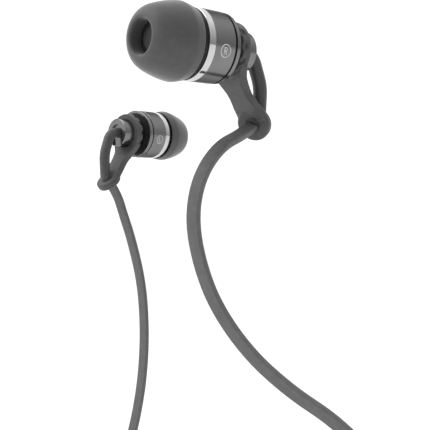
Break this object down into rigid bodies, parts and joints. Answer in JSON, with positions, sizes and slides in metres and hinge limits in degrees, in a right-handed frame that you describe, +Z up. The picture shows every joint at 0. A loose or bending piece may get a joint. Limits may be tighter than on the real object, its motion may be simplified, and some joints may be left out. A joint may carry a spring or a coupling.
{
  "type": "wired in-ear earphones",
  "caption": "In-ear wired earphones: dome silicone tips on glossy barrels that swivel on soft cable arms, flat cables, a splitter and a coiled lead with a 3.5 mm plug.",
  "frame": {"origin": "centre of the right ear tip's mouth", "axes": "+Z up, +X from the right ear tip's mouth back along its barrel, +Y away from the viewer towards the left earphone"},
  "size_m": [0.0578, 0.0892, 0.1822],
  "materials": {
    "silicone": "matte moulded silicone",
    "dark_shell": "satin",
    "gloss_shell": "high gloss gunmetal lacquer",
    "chrome": "polished",
    "black_plastic": "satin moulded",
    "soft_arm": "satin moulded elastomer",
    "cable_jacket": "matte",
    "wire_jacket": "satin",
    "steel_mesh": "woven mesh",
    "foam": "open cell foam",
    "mark_ink": "printed",
    "driver_plastic": "moulded",
    "film": "thin film",
    "copper": "enamelled winding",
    "steel": "plated",
    "magnet": "nickel plated",
    "board": "solder mask",
    "tie_strap": "woven hook and loop",
    "contact_metal": "gold plated"
  },
  "bodies": {
    "harness": {"right_swivel_arm": "soft_arm", "right_pivot_boss": "soft_arm", "right_strain_relief": "cable_jacket", "left_swivel_arm": "soft_arm", "left_pivot_boss": "soft_arm", "left_strain_relief": "cable_jacket", "right_cable": "cable_jacket", "left_cable": "cable_jacket", "main_cable": "cable_jacket", "main_coil": "cable_jacket", "right_coil": "cable_jacket", "left_coil": "cable_jacket", "cable_tie": "tie_strap", "splitter_front": "soft_arm", "splitter_back": "soft_arm", "plug_relief": "black_plastic", "plug_grip": "black_plastic", "plug_sleeve": "contact_metal", "plug_bands": "black_plastic", "plug_ring": "contact_metal", "plug_tip": "contact_metal"},
    "right_earpiece": {"right_front_cap": "dark_shell", "right_mesh_screen": "steel_mesh", "right_nozzle_damper": "foam", "right_trim_ring": "chrome", "right_barrel": "gloss_shell", "right_rear_collar": "gloss_shell", "right_rear_cap": "black_plastic", "right_lead_wires": "wire_jacket", "right_side_mark": "mark_ink", "right_driver_frame": "driver_plastic", "right_diaphragm": "film", "right_voice_coil": "copper", "right_top_plate": "steel", "right_magnet": "magnet", "right_yoke": "steel", "right_driver_gasket": "foam", "right_terminal_board": "board"},
    "right_tip": {"right_ear_tip": "silicone"},
    "left_earpiece": {"left_front_cap": "dark_shell", "left_mesh_screen": "steel_mesh", "left_nozzle_damper": "foam", "left_trim_ring": "chrome", "left_barrel": "gloss_shell", "left_rear_collar": "gloss_shell", "left_rear_cap": "black_plastic", "left_lead_wires": "wire_jacket", "left_side_mark": "mark_ink", "left_driver_frame": "driver_plastic", "left_diaphragm": "film", "left_voice_coil": "copper", "left_top_plate": "steel", "left_magnet": "magnet", "left_yoke": "steel", "left_driver_gasket": "foam", "left_terminal_board": "board"},
    "left_tip": {"left_ear_tip": "silicone"}
  },
  "joints": [
    {"name": "right_swivel", "type": "hinge", "parent": "harness", "child": "right_earpiece", "pos_m": [0.0175, 0, 0], "axis": [-1, 0, 0], "range_deg": [-90, 90]},
    {"name": "left_swivel", "type": "hinge", "parent": "harness", "child": "left_earpiece", "pos_m": [0.04008, 0.05945, -0.00942], "axis": [0.9909, 0.1347, 0], "range_deg": [-90, 90]},
    {"name": "right_tip_pull", "type": "slide", "parent": "right_earpiece", "child": "right_tip", "axis": [-1, 0, 0], "range_m": [0, 0.008]},
    {"name": "left_tip_pull", "type": "slide", "parent": "left_earpiece", "child": "left_tip", "axis": [0.9909, 0.1347, 0], "range_m": [0, 0.008]}
  ]
}
